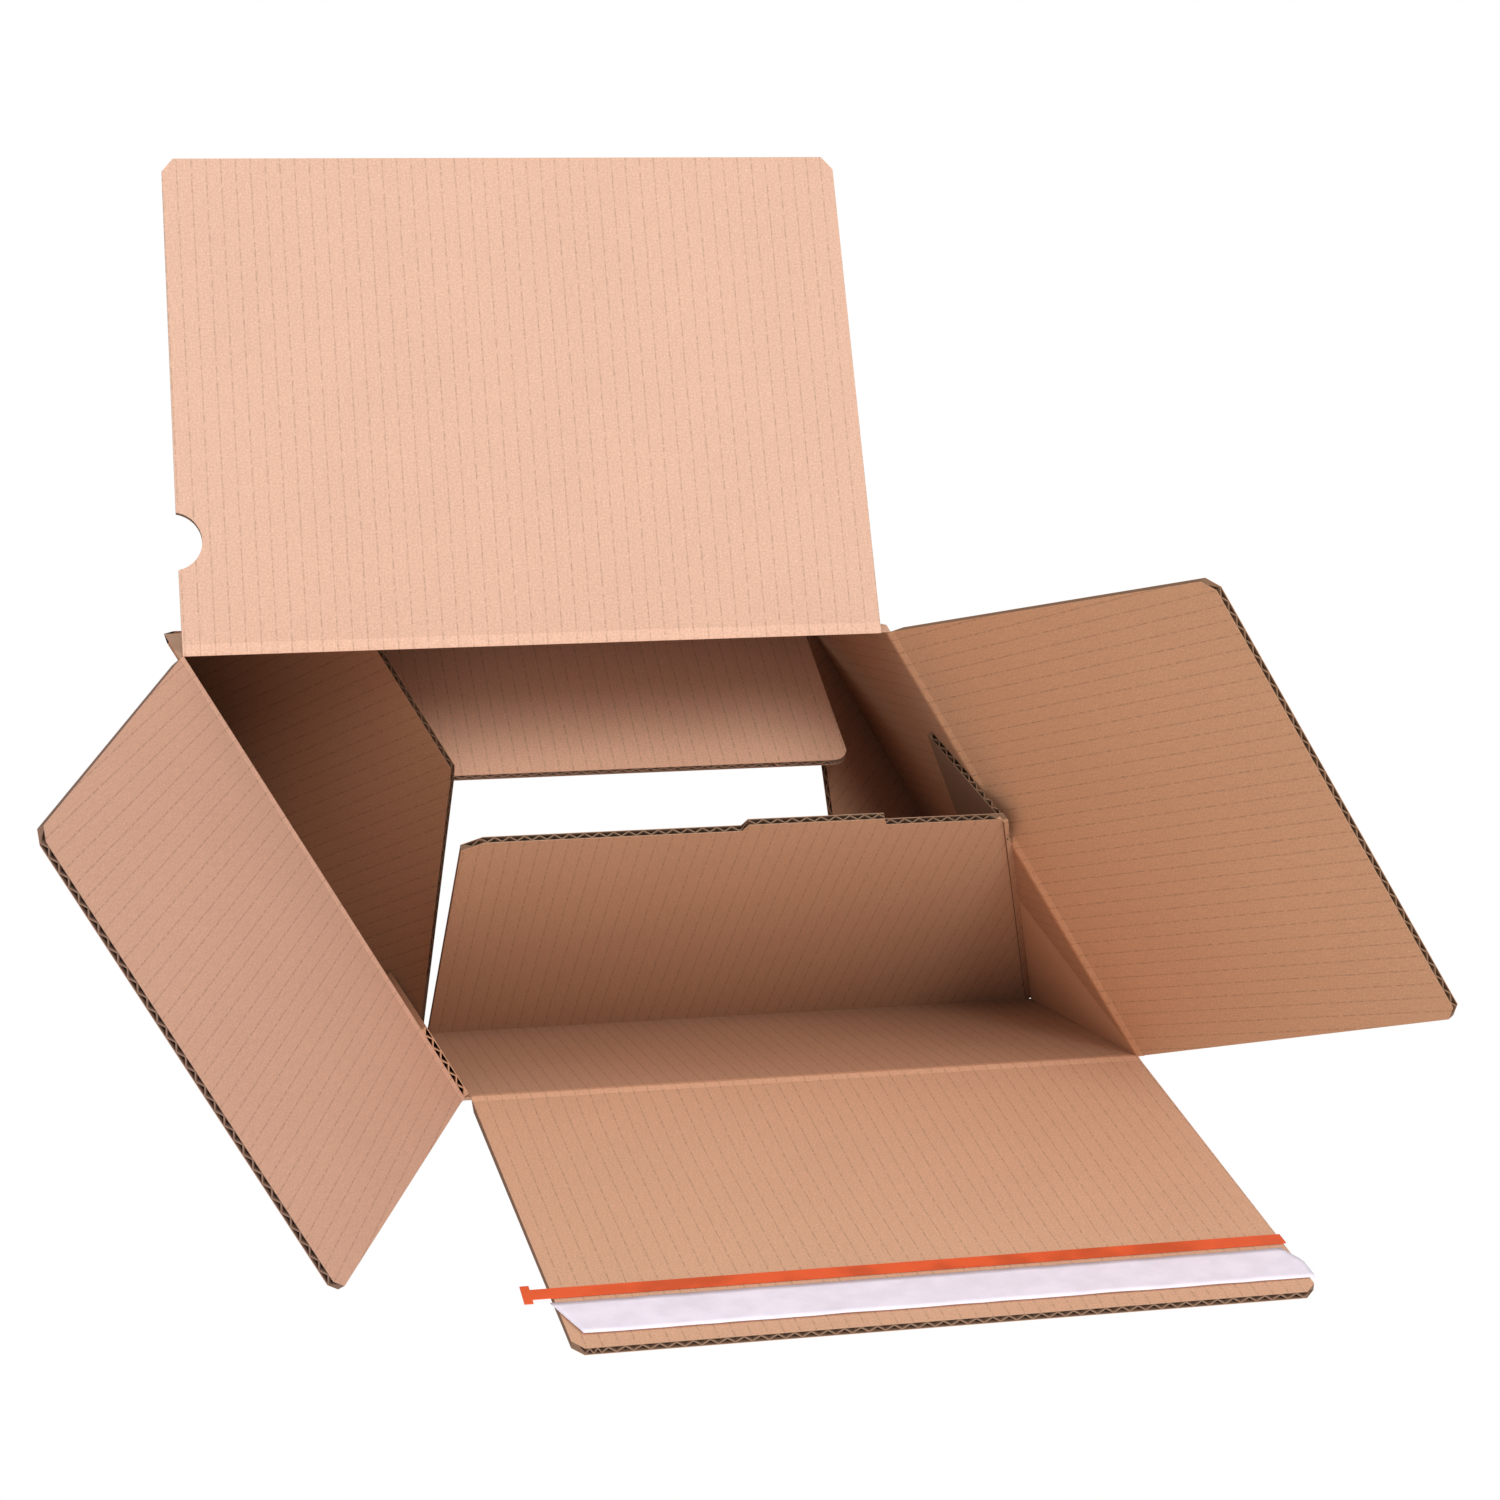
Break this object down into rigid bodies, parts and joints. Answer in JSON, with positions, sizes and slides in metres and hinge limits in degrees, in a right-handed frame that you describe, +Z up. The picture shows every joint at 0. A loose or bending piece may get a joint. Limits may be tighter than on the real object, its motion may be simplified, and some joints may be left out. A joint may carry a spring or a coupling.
{
  "type": "crash lock shipping carton",
  "caption": "Crash lock shipping carton of kraft corrugated board, half erected, with its top flaps open and a peel-and-seal closure.",
  "frame": {"origin": "middle of the back wall's bottom fold, on the standing surface, under the back wall's inner face", "axes": "+Z up, +X along the back wall to the right as seen from the front, +Y out through the back wall"},
  "size_m": [0.538, 0.4638, 0.3867],
  "materials": {
    "kraft_board": "matte",
    "tear_tape": "satin",
    "adhesive": "gloss",
    "release_paper": "satin"
  },
  "bodies": {
    "carton": {"box_body": "kraft_board"},
    "back_flap": {"back_flap": "kraft_board"},
    "left_flap": {"left_flap": "kraft_board"},
    "right_flap": {"right_flap": "kraft_board"},
    "front_flap": {"front_flap": "kraft_board", "tear_strip": "tear_tape", "adhesive_strip": "adhesive", "release_liner": "release_paper"}
  },
  "joints": [
    {"name": "back_fold", "type": "hinge", "parent": "carton", "child": "back_flap", "pos_m": [0.1525, 0, 0.168], "axis": [-1, 0, 0], "range_deg": [-104, 26]},
    {"name": "left_fold", "type": "hinge", "parent": "carton", "child": "left_flap", "pos_m": [-0.1525, 0, 0.168], "axis": [0.5, -0.866, 0], "range_deg": [-15, 115]},
    {"name": "right_fold", "type": "hinge", "parent": "carton", "child": "right_flap", "pos_m": [0.265, -0.19486, 0.168], "axis": [-0.5, 0.866, 0], "range_deg": [-15, 115]},
    {"name": "front_fold", "type": "hinge", "parent": "carton", "child": "front_flap", "pos_m": [-0.04, -0.19486, 0.168], "axis": [1, 0, 0], "range_deg": [-9, 121]}
  ]
}
